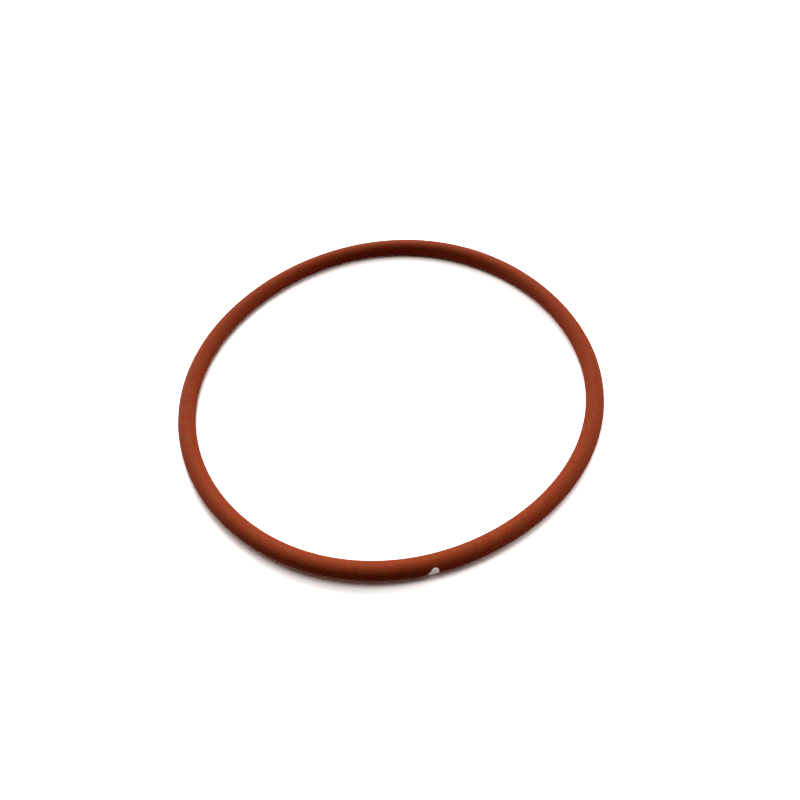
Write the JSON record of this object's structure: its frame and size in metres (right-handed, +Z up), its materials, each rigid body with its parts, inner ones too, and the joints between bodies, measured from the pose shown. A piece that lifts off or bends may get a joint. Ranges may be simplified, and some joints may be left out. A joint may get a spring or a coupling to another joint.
{
  "type": "o-ring",
  "caption": "Round rubber o-ring with a plain circular section, lying flat, marked on its outer flank with a small dab of white paint.",
  "frame": {"origin": "centre of the ring on its mid-plane", "axes": "+Z along the ring's axis; the ring lies flat with +Z up"},
  "size_m": [0.086, 0.086, 0.0036],
  "materials": {
    "fkm_rubber": "matte, fine moulded grain",
    "white_paint": "matte paint film"
  },
  "bodies": {
    "root": {"o_ring": "fkm_rubber"}
  },
  "joints": []
}
